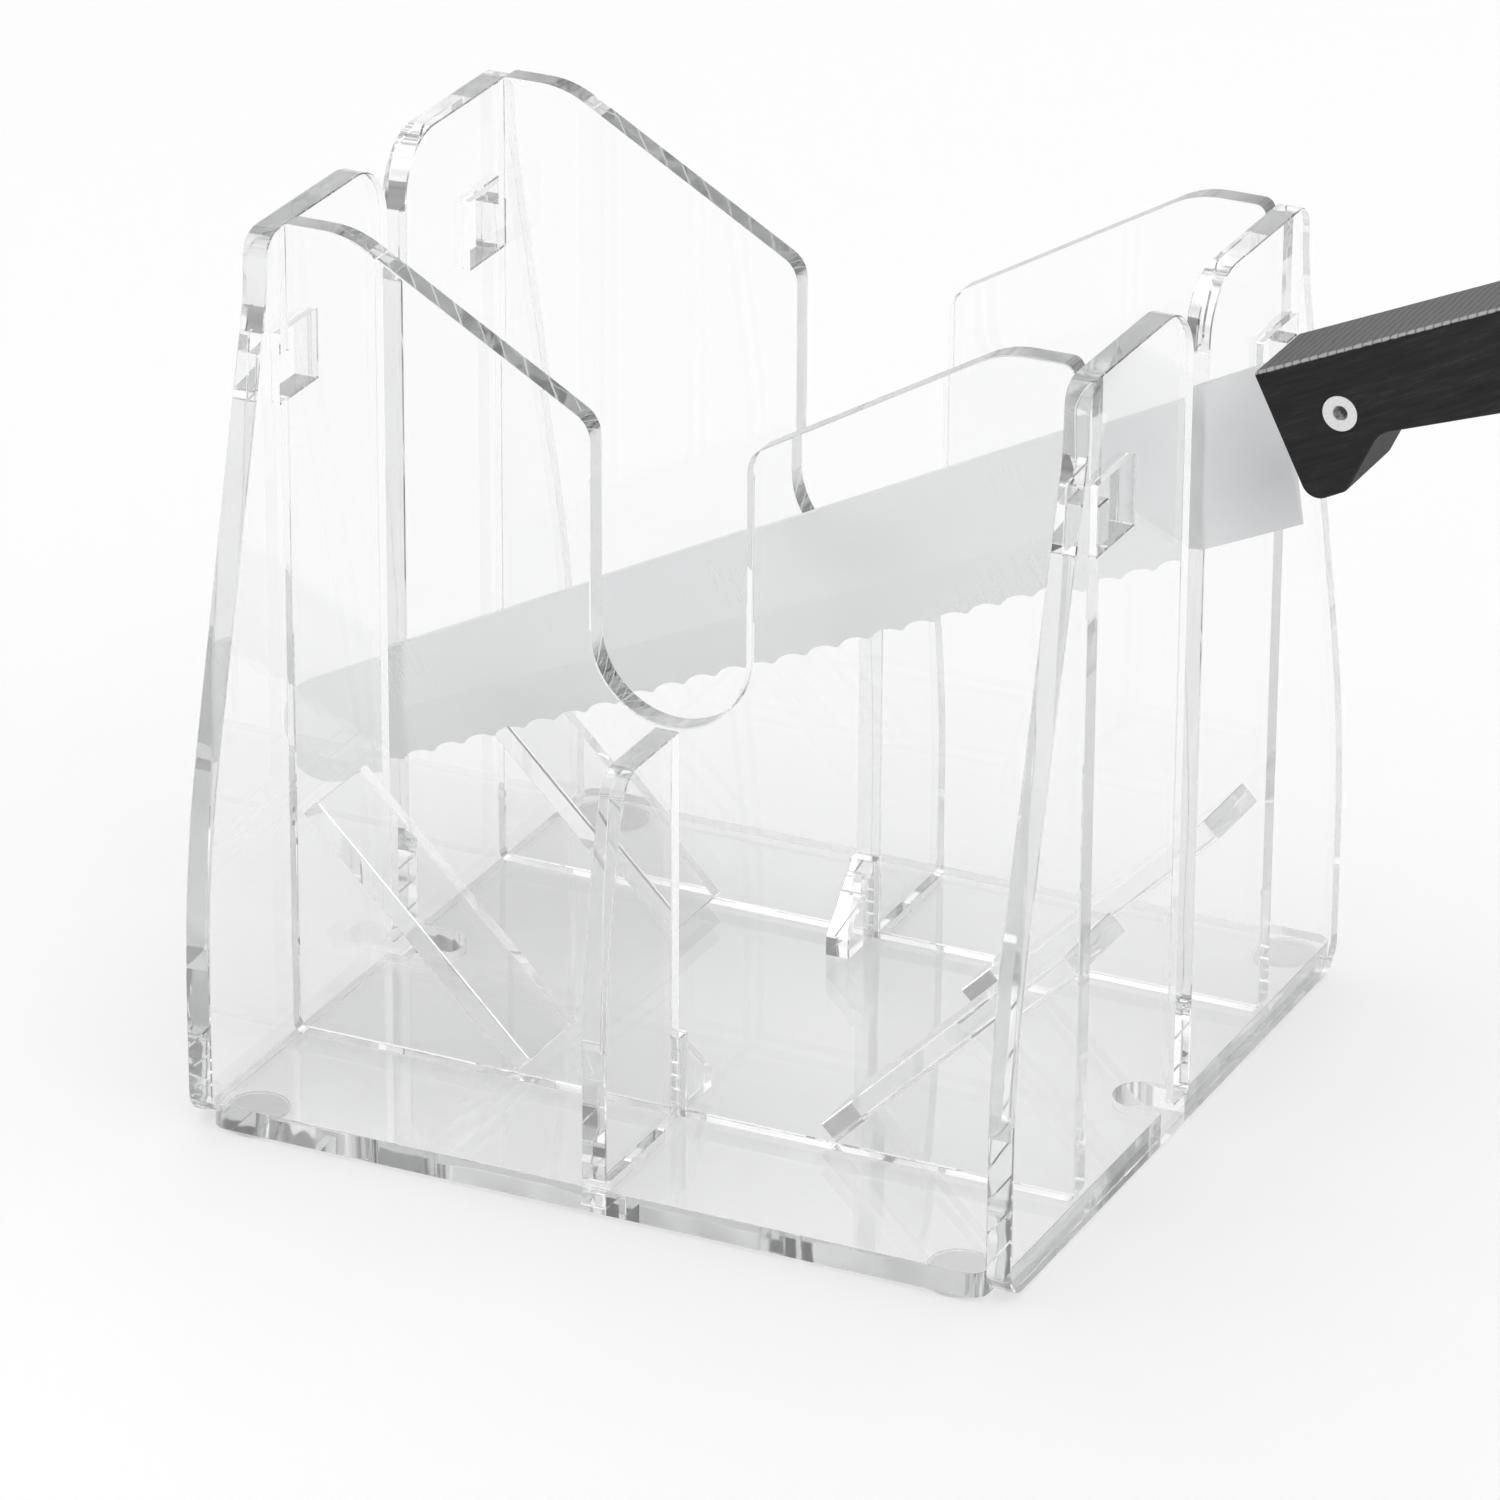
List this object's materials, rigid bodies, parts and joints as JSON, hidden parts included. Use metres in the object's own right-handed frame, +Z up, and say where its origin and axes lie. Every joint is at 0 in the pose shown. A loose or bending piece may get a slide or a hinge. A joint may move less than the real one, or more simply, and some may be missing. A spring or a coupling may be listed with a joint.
{
  "type": "bread slicing stand with knife",
  "caption": "Clear slotted-sheet stand that holds a bread roll upright between panels and ramps while a long serrated knife is guided down through slots in its end walls.",
  "frame": {"origin": "centre of the base plate's underside; the feet reach 0.85 mm below it", "axes": "+X to the right along the knife, from its tip to its handle; +Y to the rear, away from the front panel; +Z up, the way the knife is lifted out"},
  "size_m": [0.298, 0.1416, 0.1896],
  "materials": {
    "clear_sheet": "clear polished sheet",
    "foot_pad": "clear soft pad",
    "blade_steel": "fine satin grind",
    "handle_grip": "black, fine moulded grain",
    "rivet_steel": "satin"
  },
  "bodies": {
    "stand": {"base_plate": "clear_sheet", "left_side_wall": "clear_sheet", "right_side_wall": "clear_sheet", "front_panel": "clear_sheet", "rear_panel": "clear_sheet", "front_strut": "clear_sheet", "rear_strut": "clear_sheet", "front_left_ramp": "clear_sheet", "front_right_ramp": "clear_sheet", "rear_left_ramp": "clear_sheet", "rear_right_ramp": "clear_sheet", "front_left_foot": "foot_pad", "front_right_foot": "foot_pad", "rear_left_foot": "foot_pad", "rear_right_foot": "foot_pad"},
    "knife": {"knife_blade": "blade_steel", "knife_handle": "handle_grip", "knife_rivets": "rivet_steel"}
  },
  "joints": [
    {"name": "knife_lift", "type": "slide", "parent": "stand", "child": "knife", "axis": [0, 0, 1], "range_m": [-0.03, 0.115]}
  ]
}
